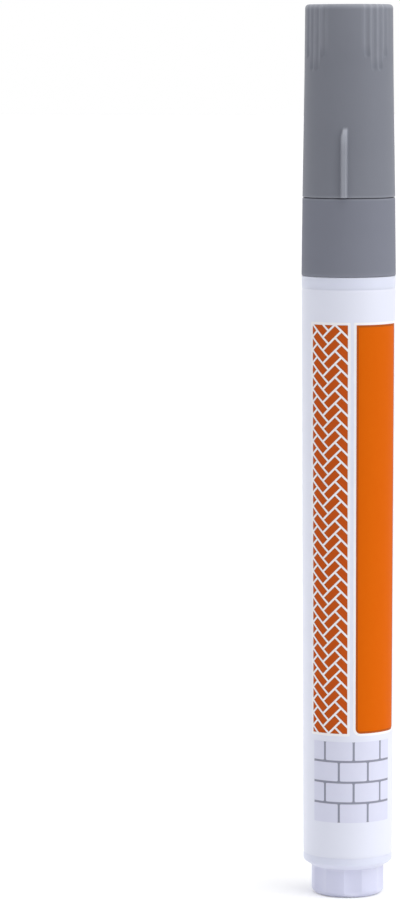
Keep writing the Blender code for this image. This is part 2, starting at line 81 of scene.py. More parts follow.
def mouldedPlastic(
    name, colour, paler, roughness, flowSize, grainSize, grainDepth, gloss=0.5, highlightColour=None, depth=0.0
):
    # injection moulding: faint flow shading over centimetres, and a fine tool grain that softens the gloss
    # a real tool's grain is finer than this, which is as coarse as it has to be to show
    made, tree, shader, place = newMaterial(name)
    flow = addNode(
        tree,
        "ShaderNodeTexNoise",
        {"Vector": place.outputs["Object"], "Scale": 1 / (flowSize * mm), "Detail": 3.0, "Roughness": 0.55},
    )
    tint = addNode(tree, "ShaderNodeMix", {"Factor": flow.outputs["Fac"]}, data_type="RGBA")
    tint.inputs["A"].default_value = hexColour(colour)
    tint.inputs["B"].default_value = hexColour(paler)
    tree.links.new(tint.outputs["Result"], shader.inputs["Base Color"])
    if highlightColour:
        # painted highlight: raised places and edges are painted paler where they catch the light
        highlightMask = addNode(tree, "ShaderNodeAttribute", attribute_name="paintedHighlight")
        highlightMix = addNode(
            tree,
            "ShaderNodeMix",
            {"Factor": highlightMask.outputs["Fac"], "A": tint.outputs["Result"]},
            data_type="RGBA",
        )
        highlightMix.inputs["B"].default_value = hexColour(highlightColour)
        tree.links.new(highlightMix.outputs["Result"], shader.inputs["Base Color"])
    grain = addNode(
        tree,
        "ShaderNodeTexNoise",
        {"Vector": place.outputs["Object"], "Scale": 1 / (grainSize * mm), "Detail": 2.0},
    )
    sheen = addNode(
        tree,
        "ShaderNodeMapRange",
        {"Value": grain.outputs["Fac"], "To Min": roughness - 0.06, "To Max": roughness + 0.06},
    )
    tree.links.new(sheen.outputs["Result"], shader.inputs["Roughness"])
    bump = addNode(
        tree,
        "ShaderNodeBump",
        {"Height": grain.outputs["Fac"], "Distance": grainDepth * mm, "Strength": 0.5},
    )
    tree.links.new(bump.outputs["Normal"], shader.inputs["Normal"])
    shader.inputs["IOR"].default_value = 1.49
    shader.inputs["Specular IOR Level"].default_value = gloss
    if depth:
        # white resin lets light in a little way, which softens edges and fills grooves
        shader.inputs["Subsurface Weight"].default_value = 0.3
        shader.inputs["Subsurface Radius"].default_value = (1.0, 1.0, 1.0)
        shader.inputs["Subsurface Scale"].default_value = depth * mm
    return made


def printedInk(name, colour, thinner, roughness, mottleSize=1.6):
    # flexographic ink on film: a little mottled where the plate carried less ink
    made, tree, shader, place = newMaterial(name)
    mottle = addNode(
        tree,
        "ShaderNodeTexNoise",
        {
            "Vector": place.outputs["Object"],
            "Scale": 1 / (mottleSize * mm),
            "Detail": 4.0,
            "Roughness": 0.7,
        },
    )
    tint = addNode(tree, "ShaderNodeMix", {"Factor": mottle.outputs["Fac"]}, data_type="RGBA")
    tint.inputs["A"].default_value = hexColour(colour)
    tint.inputs["B"].default_value = hexColour(thinner)
    tree.links.new(tint.outputs["Result"], shader.inputs["Base Color"])
    gloss = addNode(
        tree,
        "ShaderNodeMapRange",
        {"Value": mottle.outputs["Fac"], "To Min": roughness - 0.04, "To Max": roughness + 0.04},
    )
    tree.links.new(gloss.outputs["Result"], shader.inputs["Roughness"])
    shader.inputs["Specular IOR Level"].default_value = 0.03
    return made


def steelWire(name, colour, bright, roughness, lineSize):
    # drawn or polished steel: fine marks of the die or the polishing drum, shown coarser than they are
    made, tree, shader, place = newMaterial(name)
    lines = addNode(
        tree,
        "ShaderNodeTexNoise",
        {"Vector": place.outputs["Object"], "Scale": 1 / (lineSize * mm), "Detail": 5.0},
    )
    tint = addNode(tree, "ShaderNodeMix", {"Factor": lines.outputs["Fac"]}, data_type="RGBA")
    tint.inputs["A"].default_value = hexColour(colour)
    tint.inputs["B"].default_value = hexColour(bright)
    tree.links.new(tint.outputs["Result"], shader.inputs["Base Color"])
    sheen = addNode(
        tree,
        "ShaderNodeMapRange",
        {"Value": lines.outputs["Fac"], "To Min": roughness - 0.05, "To Max": roughness + 0.08},
    )
    tree.links.new(sheen.outputs["Result"], shader.inputs["Roughness"])
    shader.inputs["Metallic"].default_value = 1.0
    return made


def pressedFelt(name, colour, paler, fibreWidth, fibreLength):
    # bonded acrylic fibres, cut short and pressed: a mottle drawn out a little along the nib, no gloss
    # each fleck stands for a few fibres, because one fibre is too fine to show
    made, tree, shader, place = newMaterial(name)
    along = addNode(
        tree,
        "ShaderNodeMapping",
        {
            "Vector": place.outputs["Object"],
            "Scale": (1 / (fibreWidth * mm), 1 / (fibreWidth * mm), 1 / (fibreLength * mm)),
        },
    )
    fibres = addNode(
        tree, "ShaderNodeTexNoise", {"Vector": along.outputs["Vector"], "Scale": 1.0, "Detail": 4.0}
    )
    tint = addNode(tree, "ShaderNodeMix", {"Factor": fibres.outputs["Fac"]}, data_type="RGBA")
    tint.inputs["A"].default_value = hexColour(colour)
    tint.inputs["B"].default_value = hexColour(paler)
    tree.links.new(tint.outputs["Result"], shader.inputs["Base Color"])
    bump = addNode(
        tree, "ShaderNodeBump", {"Height": fibres.outputs["Fac"], "Distance": 0.08 * mm, "Strength": 0.8}
    )
    tree.links.new(bump.outputs["Normal"], shader.inputs["Normal"])
    shader.inputs["Roughness"].default_value = 0.95
    shader.inputs["Sheen Weight"].default_value = 0.4
    return made


# paler colours for the painted highlights on grey and white plastic
greyHighlight = "#B0B3BD"
whiteHighlight = "#EAECFF"
capGrey = mouldedPlastic(
    "grey polypropylene, satin",
    colour="#7B7E88",
    paler="#80838D",
    roughness=0.48,
    flowSize=9.0,
    grainSize=0.35,
    grainDepth=0.012,
    gloss=0.14,
    highlightColour=greyHighlight,
)
collarGrey = mouldedPlastic(
    "grey polypropylene, collar",
    colour="#7E818D",
    paler="#838692",
    roughness=0.54,
    flowSize=8.0,
    grainSize=0.35,
    grainDepth=0.012,
    gloss=0.06,
    highlightColour=greyHighlight,
)
barrelWhite = mouldedPlastic(
    "white polypropylene, semi-gloss",
    colour="#DCE0F3",
    paler="#E1E5F6",
    roughness=0.38,
    flowSize=12.0,
    grainSize=0.45,
    grainDepth=0.006,
    highlightColour=whiteHighlight,
    depth=1.2,
)
tailWhite = mouldedPlastic(
    "white polypropylene, plug",
    colour="#D6D8EF",
    paler="#DCDEF2",
    roughness=0.42,
    flowSize=6.0,
    grainSize=0.40,
    grainDepth=0.008,
    highlightColour=whiteHighlight,
    depth=1.2,
)
sealWhite = mouldedPlastic(
    "natural polyethylene, soft",
    colour="#D9DAD6",
    paler="#E3E4E0",
    roughness=0.55,
    flowSize=5.0,
    grainSize=0.30,
    grainDepth=0.006,
)
holderWhite = mouldedPlastic(
    "white acetal, nozzle",
    colour="#E4E4E2",
    paler="#EDEDEB",
    roughness=0.36,
    flowSize=5.0,
    grainSize=0.30,
    grainDepth=0.006,
)
valveWhite = mouldedPlastic(
    "natural acetal, valve",
    colour="#D6D8D6",
    paler="#E0E2E0",
    roughness=0.42,
    flowSize=4.0,
    grainSize=0.30,
    grainDepth=0.006,
)
filmWhite = mouldedPlastic(
    "white polypropylene film",
    colour="#E3E6F5",
    paler="#E8EBF9",
    roughness=0.35,
    flowSize=16.0,
    grainSize=0.60,
    grainDepth=0.003,
)
orangeInk = printedInk("orange flexo ink", "#DA6104", "#DC6608", roughness=0.46)
rustInk = printedInk("deep orange flexo ink", "#C4531A", "#C8581E", roughness=0.46)
whiteInk = printedInk("white flexo underprint", "#F3F2F7", "#F9F8FB", roughness=0.36)
brownInk = printedInk("brown flexo overprint", "#B2551B", "#B85B20", roughness=0.46)
tileInk = printedInk("lavender grey flexo ink", "#DADCF0", "#DFE1F3", roughness=0.34)
jointInk = printedInk("joint grey flexo ink", "#8E90A0", "#989AAA", roughness=0.36)
wireSteel = steelWire("drawn spring steel", "#A9A9AC", "#C2C2C5", roughness=0.34, lineSize=0.2)
ballSteel = steelWire("polished ball steel", "#BEBEC2", "#D0D0D3", roughness=0.14, lineSize=0.5)
yellowFelt = pressedFelt("pressed yellow felt", "#EBCB4C", "#FFF3A8", fibreWidth=0.16, fibreLength=0.45)
print("materials made")


def turnedShape(corners, sides, closed=False, roundSteps=4, rows=()):
    # corners are (radius, height, rounding) in mm
    # rows are stretches that are cut finer: (low, high, pitch, least radius)
    bm = bmesh.new()
    verts = [bm.verts.new((r * mm, 0, z * mm)) for r, z, _ in corners]
    for pair in zip(verts, verts[1:]):
        bm.edges.new(pair)
    if closed:
        bm.edges.new((verts[-1], verts[0]))
    for vert, (_, _, rounding) in zip(verts, corners):
        if rounding:
            bmesh.ops.bevel(
                bm,
                geom=[vert],
                offset=rounding * mm,
                segments=roundSteps,
                affect="VERTICES",
                profile=0.5,
                material=-1,
            )
    for low, high, pitch, leastRadius in rows:
        for edge in list(bm.edges):
            heights = sorted(v.co.z / mm for v in edge.verts)
            isOutside = min(v.co.x for v in edge.verts) > leastRadius * mm
            if isOutside and heights[0] > low - 1e-3 and heights[1] < high + 1e-3:
                cuts = int((heights[1] - heights[0]) / pitch)
                if cuts:
                    bmesh.ops.subdivide_edges(bm, edges=[edge], cuts=cuts)
    geom = bm.verts[:] + bm.edges[:]
    bmesh.ops.spin(
        bm, geom=geom, cent=(0, 0, 0), axis=(0, 0, 1), angle=math.tau, steps=sides, use_merge=True
    )
    bmesh.ops.remove_doubles(bm, verts=bm.verts, dist=1e-7)
    bmesh.ops.recalc_face_normals(bm, faces=bm.faces)
    return bm


def addPiece(name, bm, material, body, node=None, sharp=30):
    mesh = bpy.data.meshes.new(name)
    bm.to_mesh(mesh)
    bm.free()
    mesh.shade_smooth()
    mesh.set_sharp_from_angle(angle=math.radians(sharp))
    mesh.materials.append(material)
    piece = bpy.data.objects.new(name, mesh)
    bpy.context.scene.collection.objects.link(piece)
    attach(piece, body)
    if node:
        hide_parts(node)
    return piece


def heightsOf(node):
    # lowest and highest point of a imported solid, in mm to the nearest thousandth
    low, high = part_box(node)
    return round(low[2] / mm, 3), round(high[2] / mm, 3)


def bearingOf(co):
    # angle round the axis, 0 towards the front and growing to the right
    return math.atan2(co.x, -co.y)


def smoothStep(value):
    value = min(max(value, 0.0), 1.0)
    return value * value * (3 - 2 * value)


def pushOut(vert, distance):
    flat = Vector((vert.co.x, vert.co.y, 0))
    vert.co += flat.normalized() * distance


def paintEdgeHighlights(bm, edges):
    # edges are (height, reach, amount): painted highlight, the surface is painted paler within reach of
    # each height, where the edge catches light
    paintedHighlight = bm.verts.layers.float.new("paintedHighlight")
    for vert in bm.verts:
        for height, reach, amount in edges:
            vert[paintedHighlight] += amount * smoothStep(1 - abs(vert.co.z / mm - height) / reach)


# camera at the photograph's eye level, looking a little down
cameraSetup = {
    "across": -23.3,
    "back": -634.0,
    "height": 132.6,
    "pitch": 5.6,
    "roll": -0.096,
    "lens": 162.2,
    "sensor": 36,
}
cameraData = bpy.data.cameras.new("camera")
cameraData.sensor_width = cameraSetup["sensor"]
cameraData.lens = cameraSetup["lens"]
camera = bpy.data.objects.new("camera", cameraData)
bpy.context.scene.collection.objects.link(camera)
camera.location = (cameraSetup["across"] * mm, cameraSetup["back"] * mm, cameraSetup["height"] * mm)
turn = Matrix.Rotation(math.radians(90 - cameraSetup["pitch"]), 4, "X")
camera.rotation_euler = (turn @ Matrix.Rotation(math.radians(cameraSetup["roll"]), 4, "Z")).to_euler()
bpy.context.scene.camera = camera
print("camera set")

# cap: grip grooves and the anti-roll rib are pressed into a finely cut turned shell
# painted highlights are (amount, reach); the rib's is (all along, more at the lip, more at the top)
capLip, capTop = heightsOf("cap_shell")
cap = {
    "lip": capLip,
    "top": capTop,
    "lipRadius": 7.24,
    "gripRadius": 6.94,
    "gripHeight": 129.0,
    "topRadius": 6.84,
    "bore": 6.07,
    "upperBore": 5.45,
    "step": 118.3,
    "ceiling": 138.3,
    "topFlat": 5.8,
    "gate": 0.8,
    "gateDepth": 0.18,
    "turn": -8.0,
    "sides": 480,
    "fineRows": [(capLip + 0.06, 129.0, 0.25, 6.3), (129.0, capTop - 0.4, 0.16, 6.3)],
    "groups": 4,
    "grooves": 4,
    "pitch": 10.3,
    "grooveWidth": 0.98,
    "grooveDepth": 0.2,
    "grooveEnd": (131.7, 129.7),
    "ribWidth": 1.3,
    "ribCrest": 0.5,
    "ribHeight": 0.8,
    "ribFoot": 0.08,
    "ribTop": 121.0,
    "ribRamp": 1.5,
    "ribLean": 0.13,
    "ribFade": 4.0,
    "rimHighlight": (0.45, 1.0),
    "gripHighlight": (0.05, 9.0),
    "lipHighlight": (0.25, 0.5),
    "landHighlight": (0.22, 2.0),
    "grooveHighlightCut": 0.6,
    "ribHighlight": (0.48, 0.3, 0.4),
    "outside": 6.2,
}


def shapeCap(bm):
    front = math.radians(cap["turn"])
    middle = (cap["grooves"] - 1) / 2
    half = cap["grooveWidth"] / 2
    rimHighlightAmount, rimReach = cap["rimHighlight"]
    gripHighlightAmount, gripReach = cap["gripHighlight"]
    lipHighlightAmount, lipReach = cap["lipHighlight"]
    landHighlightAmount, landReach = cap["landHighlight"]
    ribHighlightAmount, ribLipHighlightAmount, ribTopHighlightAmount = cap["ribHighlight"]
    paintedHighlight = bm.verts.layers.float.new("paintedHighlight")
    for vert in bm.verts:
        radius = math.hypot(vert.co.x, vert.co.y) / mm
        height = vert.co.z / mm
        if radius < cap["outside"]:
            continue
        # painted highlights: the top rim and the lip are painted paler where they catch light, and the grip
        # paler towards the lit top
        atRim = smoothStep((height - cap["top"]) / rimReach + 1)
        atLip = smoothStep((cap["lip"] - height) / lipReach + 1)
        atGrip = smoothStep((height - cap["top"]) / gripReach + 1)
        vert[paintedHighlight] = rimHighlightAmount * atRim + gripHighlightAmount * atGrip + lipHighlightAmount * atLip
        bearing = (bearingOf(vert.co) - front) % math.tau
        push = 0.0
        if height > cap["grooveEnd"][1] - half:
            inGroup = bearing % (math.tau / cap["groups"]) - math.pi / cap["groups"]
            number = inGroup / math.radians(cap["pitch"]) + middle
            near = min(max(round(number), 0), cap["grooves"] - 1)
            aside = abs(number - near) * math.radians(cap["pitch"]) * radius
            end = cap["grooveEnd"][0 if near in (0, cap["grooves"] - 1) else 1] + half
            away = math.hypot(aside, min(0.0, height - end))
            sunk = max(0.0, 1 - (away / half) ** 2)
            push -= cap["grooveDepth"] * sunk
            # painted highlight on the lands between the grooves, held back inside the grooves
            inGrip = smoothStep(1 + middle - abs(number - middle)) * smoothStep((height - end) / landReach)
            vert[paintedHighlight] += landHighlightAmount * inGrip * (1 - cap["grooveHighlightCut"] * sunk)
        if cap["lip"] + cap["ribFoot"] < height < cap["ribTop"]:
            # the rib runs out in a ramp at its top, where it also leans and narrows a little
            rise = min(1.0, (cap["ribTop"] - height) / cap["ribRamp"])
            lean = cap["ribLean"] * (1 - rise)
            aside = abs(((bearing + math.pi) % math.tau - math.pi) * radius - lean)
            halfRib = cap["ribWidth"] / 2 - lean
            slope = (halfRib - aside) / ((cap["ribWidth"] - cap["ribCrest"]) / 2)
            push += cap["ribHeight"] * smoothStep(slope) * math.sin(rise * math.pi / 2)
            # painted highlight along the rib's crest, stronger at the lip and at the ramped top
            atTop = smoothStep((height - cap["ribTop"]) / cap["ribFade"] + 1)
            ribHighlightShare = ribHighlightAmount + ribLipHighlightAmount * atLip + ribTopHighlightAmount * atTop
            vert[paintedHighlight] = max(vert[paintedHighlight], ribHighlightShare * smoothStep(slope) * min(1.0, 4 * rise))
        if push:
            pushOut(vert, push * mm)


capCorners = [
    (0, cap["ceiling"], 0),
    (cap["upperBore"], cap["ceiling"], 0.4),
    (cap["upperBore"], cap["step"], 0),
    (cap["bore"], cap["step"], 0),
    (cap["bore"], cap["lip"], 0.25),
    (cap["lipRadius"], cap["lip"], 0.1),
    (cap["gripRadius"], cap["gripHeight"], 0),
    (cap["topRadius"], cap["top"], 0.6),
    (cap["topFlat"], cap["top"], 0),
    (cap["gate"] + 0.2, cap["top"], 0.1),
    (cap["gate"], cap["top"] - cap["gateDepth"], 0.08),
    (0, cap["top"] - cap["gateDepth"], 0),
]
capShape = turnedShape(capCorners, cap["sides"], rows=cap["fineRows"])
shapeCap(capShape)
addPiece("capBody", capShape, capGrey, "cap", "cap_shell")

sealMouth, sealTop = heightsOf("inner_cap")
innerCap = {"bore": 4.6, "radius": 5.35, "mouth": sealMouth, "ceiling": 137.4, "top": sealTop}
innerCorners = [
    (0, innerCap["ceiling"], 0),
    (innerCap["bore"], innerCap["ceiling"], 0.4),
    (innerCap["bore"], innerCap["mouth"], 0.18),
    (innerCap["radius"], innerCap["mouth"], 0.18),
    (innerCap["radius"], innerCap["top"], 0.4),
    (0, innerCap["top"], 0),
]
addPiece("sealCup", turnedShape(innerCorners, 128), sealWhite, "cap", "inner_cap")
print("cap made")

# collar with the neck under the cap and the spigot in the barrel
spigotEnd, neckRim = heightsOf("front_section")
collar = {
    "low": 97.9,
    "high": 110.02,
    "lowRadius": 7.379,
    "highRadius": 7.24,
    "neck": 5.85,
    "rim": neckRim,
    "bead": (112.5, 113.2, 113.9),
    "beadHeight": 0.12,
    "spigot": 5.8,
    "spigotEnd": spigotEnd,
    "relief": 5.68,
    "reliefEnds": (92.02, 92.14, 96.9, 97.02),
    "bore": 4.5,
    "shelf": 3.2,
    "shelfLow": 103.7,
    "shelfHigh": 104.9,
    "fineRows": [(97.9, 110.1, 0.3, 7.1)],
}
beadLow, beadMiddle, beadHigh = collar["bead"]
reliefEnds = collar["reliefEnds"]
collarCorners = [
    (collar["bore"], collar["spigotEnd"], 0),
    (collar["spigot"], collar["spigotEnd"], 0.4),
    (collar["spigot"], reliefEnds[0], 0),
    (collar["relief"], reliefEnds[1], 0),
    (collar["relief"], reliefEnds[2], 0),
    (collar["spigot"], reliefEnds[3], 0),
    (collar["spigot"], collar["low"], 0),
    (collar["lowRadius"], collar["low"], 0.18),
    (collar["highRadius"], collar["high"], 0.1),
    (collar["neck"], collar["high"], 0),
    (collar["neck"], beadLow, 0),
    (collar["neck"] + collar["beadHeight"], beadMiddle, 0.5),
    (collar["neck"], beadHigh, 0),
    (collar["neck"], collar["rim"], 0.4),
    (collar["bore"], collar["rim"], 0),
    (collar["bore"], collar["shelfHigh"], 0),
    (collar["shelf"], collar["shelfHigh"], 0),
    (collar["shelf"], collar["shelfLow"], 0),
    (collar["bore"], collar["shelfLow"], 0),
]
collarShape = turnedShape(collarCorners, 192, True, rows=collar["fineRows"])
# painted highlights along the collar's lower and upper edges
paintEdgeHighlights(collarShape, [(collar["low"], 0.7, 0.15), (collar["high"], 0.4, 0.15)])
addPiece("frontCollar", collarShape, collarGrey, "holder", "front_section")

# barrel, with the shallow recess for the film
barrel = {
    "foot": heightsOf("barrel")[0],
    "edge": 5.4,
    "rim": 97.86,
    "footRadius": 7.0,
    "rimRadius": 7.34,
    "chamfer": 1.18,
    "wall": 1.44,
    "floor": 7.2,
    "hole": 4.7,
    "recess": 0.16,
    "footHighlight": (4.9, 0.8, 1.25),
}
film = {"low": 6.62, "high": 95.9, "thickness": 0.12, "dip": 0.05, "dipWidth": 0.3}


def barrelRadius(height):
    share = (height - barrel["foot"]) / (barrel["rim"] - barrel["foot"])
    return barrel["footRadius"] + (barrel["rimRadius"] - barrel["footRadius"]) * share


filmLow = film["low"]
filmHigh = film["high"]
dip = film["dip"]
dipWidth = film["dipWidth"]
barrelCorners = [
    (barrel["hole"], barrel["foot"], 0),
    (barrel["footRadius"] - barrel["chamfer"], barrel["foot"], 0),
    (barrelRadius(barrel["edge"]), barrel["edge"], 0.26),
    (barrelRadius(filmLow - dipWidth), filmLow - dipWidth, 0.12),
    (barrelRadius(filmLow) - dip, filmLow, 0),
    (barrelRadius(filmLow) - barrel["recess"], filmLow, 0),
    (barrelRadius(filmHigh) - barrel["recess"], filmHigh, 0),
    (barrelRadius(filmHigh) - dip, filmHigh, 0),
    (barrelRadius(filmHigh + dipWidth), filmHigh + dipWidth, 0.12),
    (barrel["rimRadius"], barrel["rim"], 0.08),
    (barrel["rimRadius"] - barrel["wall"], barrel["rim"], 0),
    (barrelRadius(barrel["floor"]) - barrel["wall"], barrel["floor"], 0.6),
    (barrel["hole"], barrel["floor"], 0),
]
barrelShape = turnedShape(barrelCorners, 192, True)
# painted highlight on the foot's chamfer, standing in for light thrown up from the floor
paintEdgeHighlights(barrelShape, [barrel["footHighlight"]])
addPiece("barrelTube", barrelShape, barrelWhite, "holder", "barrel")

filmCorners = [
    (barrelRadius(filmLow) - film["thickness"], filmLow, 0),
    (barrelRadius(filmLow) - dip, filmLow, 0),
    (barrelRadius(filmLow + dipWidth), filmLow + dipWidth, 0.12),
    (barrelRadius(filmHigh - dipWidth), filmHigh - dipWidth, 0.12),
    (barrelRadius(filmHigh) - dip, filmHigh, 0),
    (barrelRadius(filmHigh) - film["thickness"], filmHigh, 0),
]
addPiece("labelFilm", turnedShape(filmCorners, 192, True), filmWhite, "holder", "label_sleeve")
print("collar, barrel and film made")

# print: flat shapes in mm, across and up, cut in narrow strips and bent round the film
printing = {
    "stripLeft": -6.35,
    "stripRight": -0.35,
    "blockLeft": 0.96,
    "blockRight": 9.15,
    "low": 26.45,
    "high": 90.5,
    "keyline": 0.4,
    "outline": 0.34,
    "brickOutline": 0.13,
    "footRounding": 0.8,
    "panelLeft": -6.35,
    "panelRight": 7.7,
    "panelLow": 12.15,
    "panelHigh": 25.3,
    "bend": 7.1,
    "brick": 1.44,
    "gap": 0.32,
    "brickReach": 1.3,
    "tileRows": 4,
    "tileColumns": 3,
    "joint": 0.34,
    "jointTrim": 0.03,
    "rounding": 0.2,
    "ink": 0.012,
    "strip": 0.3,
}


def flatBox(bm, left, right, low, high, rounding=0.0, turnBy=0.0, squareTop=False):
    # a rectangle facing the front, with rounded corners, turned about its middle
    made = bmesh.ops.create_grid(bm, x_segments=1, y_segments=1, size=0.5)["verts"]
    size = Matrix.Diagonal(((right - left) * mm, (high - low) * mm, 1, 1))
    stand = Matrix.Rotation(math.pi / 2, 4, "X")
    spot = Matrix.Translation(((left + right) / 2 * mm, 0, (low + high) / 2 * mm))
    spun = Matrix.Rotation(turnBy, 4, "Y")
    bmesh.ops.transform(bm, matrix=spot @ spun @ stand @ size, verts=made)
    if rounding:
        corners = [v for v in made if v.co.z < (low + high) / 2 * mm or not squareTop]
        bmesh.ops.bevel(
            bm, geom=corners, offset=rounding * mm, segments=4, affect="VERTICES", profile=0.5, material=-1
        )


def trim(bm, left, right, low, high):
    for point, normal in (
        ((left, 0, 0), (-1, 0, 0)),
        ((right, 0, 0), (1, 0, 0)),
        ((0, 0, low), (0, 0, -1)),
        ((0, 0, high), (0, 0, 1)),
    ):
        geom = bm.verts[:] + bm.edges[:] + bm.faces[:]
        spot = Vector(point) * mm
        bmesh.ops.bisect_plane(bm, geom=geom, plane_co=spot, plane_no=normal, clear_outer=True)


def bendPrint(bm, layer):
    # layer counts inks from the film outwards
    left = min(v.co.x for v in bm.verts)
    right = max(v.co.x for v in bm.verts)
    cuts = int((right - left) / (printing["strip"] * mm))
    for k in range(1, cuts + 1):
        geom = bm.verts[:] + bm.edges[:] + bm.faces[:]
        at = left + (right - left) * k / (cuts + 1)
        bmesh.ops.bisect_plane(bm, geom=geom, plane_co=(at, 0, 0), plane_no=(1, 0, 0))
    bmesh.ops.remove_doubles(bm, verts=bm.verts, dist=1e-6)
    grown = bmesh.ops.extrude_face_region(bm, geom=bm.faces[:])
    back = [v for v in grown["geom"] if isinstance(v, bmesh.types.BMVert)]
    bmesh.ops.translate(bm, vec=(0, printing["ink"] * mm, 0), verts=back)
    for vert in bm.verts:
        height = vert.co.z / mm
        radius = (barrelRadius(height) + printing["ink"] * (layer + 0.5)) * mm - vert.co.y
        angle = vert.co.x / (printing["bend"] * mm)
        vert.co.x = radius * math.sin(angle)
        vert.co.y = -radius * math.cos(angle)
    bmesh.ops.recalc_face_normals(bm, faces=bm.faces)


def addPrint(name, bm, layer, ink):
    bendPrint(bm, layer)
    addPiece(name, bm, ink, "holder")


low = printing["low"]
high = printing["high"]
stripLeft = printing["stripLeft"]
stripRight = printing["stripRight"]
blockLeft = printing["blockLeft"]
blockRight = printing["blockRight"]
footRound = printing["footRounding"]
edge = printing["keyline"]
keyline = bmesh.new()
flatBox(keyline, stripLeft - edge, stripRight + edge, low - edge, high + edge, printing["rounding"])
keylineBox = (blockLeft - edge, blockRight + edge, low - edge, high + edge)
flatBox(keyline, *keylineBox, footRound + edge, squareTop=True)
addPrint("printKeyline", keyline, 1, whiteInk)

# block with a darker line round it, where the two inks overlap
border = bmesh.new()
flatBox(border, blockLeft, blockRight, low, high, footRound, squareTop=True)
addPrint("printBorder", border, 2, brownInk)

block = bmesh.new()
inset = printing["outline"]
blockBox = (blockLeft + inset, blockRight - inset, low + inset, high - inset)
flatBox(block, *blockBox, footRound - inset, squareTop=True)
addPrint("printBlock", block, 3, orangeInk)

# herringbone strip: bricks two by one, laid on the diagonal
brickEdges = bmesh.new()
brickFaces = bmesh.new()
brick = printing["brick"]
trap = printing["brickOutline"]
slim = brick - printing["gap"]
long = 2 * brick - printing["gap"]
rise = brick * math.sqrt(2)
near = brick * printing["brickReach"]
stripMiddle = (stripLeft + stripRight) / 2
for m in range(-4, int((high - low) / rise) + 5):
    for n in range(-2, 3):
        for lying in (True, False):
            x = m + 2 * n + (1.0 if lying else 2.5)
            y = m - 2 * n + (0.5 if lying else 0.0)
            across = (x - y) / math.sqrt(2) * brick + stripMiddle
            up = (x + y) / math.sqrt(2) * brick + low
            inStrip = stripLeft - near < across < stripRight + near
            if inStrip and low - near < up < high + near:
                wide = long if lying else slim
                tall = slim if lying else long
                for layer, less in ((brickEdges, 0.0), (brickFaces, trap)):
                    halfWide = wide / 2 - less
                    halfTall = tall / 2 - less
                    spot = (across - halfWide, across + halfWide, up - halfTall, up + halfTall)
                    flatBox(layer, *spot, turnBy=-math.pi / 4)
trim(brickEdges, stripLeft, stripRight, low, high)
trim(brickFaces, stripLeft + trap, stripRight - trap, low + trap, high - trap)
addPrint("printBrickEdges", brickEdges, 2, brownInk)
addPrint("printHerringbone", brickFaces, 3, rustInk)

# running bond tiles, whose joints stop at the panel's edge
panel = bmesh.new()
inset = printing["joint"] / 2
panelBox = (
    printing["panelLeft"] + inset,
    printing["panelRight"] - inset,
    printing["panelLow"] + inset,
    printing["panelHigh"] - inset,
)
less = printing["jointTrim"]
flatBox(panel, panelBox[0] + less, panelBox[1] - less, panelBox[2] + less, panelBox[3] - less)
addPrint("printJoints", panel, 1, jointInk)

tiles = bmesh.new()
tileWide = (printing["panelRight"] - printing["panelLeft"]) / printing["tileColumns"]
tileTall = (printing["panelHigh"] - printing["panelLow"]) / printing["tileRows"]
for row in range(printing["tileRows"]):
    for column in range(-1, printing["tileColumns"] + 1):
        left = printing["panelLeft"] + (column + 0.5 * (row % 2)) * tileWide
        bottom = printing["panelLow"] + row * tileTall
        tileBox = (left + inset, left + tileWide - inset, bottom + inset, bottom + tileTall - inset)
        flatBox(tiles, *tileBox, printing["rounding"])
trim(tiles, *panelBox)
addPrint("printTiles", tiles, 2, tileInk)
print("print made")

# tail plug with shallow flutes that grip a posted cap
tail = {
    "radius": 5.7,
    "top": barrel["foot"],
    "fillet": 1.0,
    "gate": 0.8,
    "gateDepth": 0.18,
    "plug": 4.6,
    "plugTop": heightsOf("tail_plug")[1],
    "cup": 3.5,
    "floor": 1.6,
    "flutes": 6,
    "flute": 8.0,
    "depth": 0.314,
    "turn": 6.6,
    "runOut": (0.15, 0.75),
    "outside": 5.0,
    "fineRow": (0.9, 0.4),
}
tailCorners = [
    (0, tail["gateDepth"], 0),
    (tail["gate"], tail["gateDepth"], 0.08),
    (tail["gate"] + 0.2, 0, 0.1),
    (tail["radius"], 0, tail["fillet"]),
    (tail["radius"], tail["top"], 0.05),
    (tail["plug"], tail["top"], 0),
    (tail["plug"], tail["plugTop"], 0.35),
    (tail["cup"], tail["plugTop"], 0),
    (tail["cup"], tail["floor"], 0.7),
    (0, tail["floor"], 0),
]
rowFoot, rowPitch = tail["fineRow"]
tailRows = [(rowFoot, tail["top"], rowPitch, tail["outside"])]
tailShape = turnedShape(tailCorners, 360, roundSteps=16, rows=tailRows)
# painted highlight along the top edge, lifting the shade under the barrel's foot
paintEdgeHighlights(tailShape, [(tail["top"], 0.4, 0.8)])
pitch = math.tau / tail["flutes"]
middle = tail["radius"] - tail["depth"] + tail["flute"]
fadeFrom, fadeOver = tail["runOut"]
for vert in tailShape.verts:
    radius = math.hypot(vert.co.x, vert.co.y) / mm
    if radius > tail["outside"]:
        aside = (bearingOf(vert.co) - math.radians(tail["turn"]) + pitch / 2) % pitch - pitch / 2
        wall = middle * math.cos(aside) - math.sqrt(tail["flute"] ** 2 - (middle * math.sin(aside)) ** 2)
        runOut = smoothStep((vert.co.z / mm - fadeFrom) / fadeOver)  # flutes fade out in the foot's fillet
        pushOut(vert, min(0.0, wall - radius) * runOut * mm)
addPiece("tailPlug", tailShape, tailWhite, "holder", "tail_plug", sharp=8)

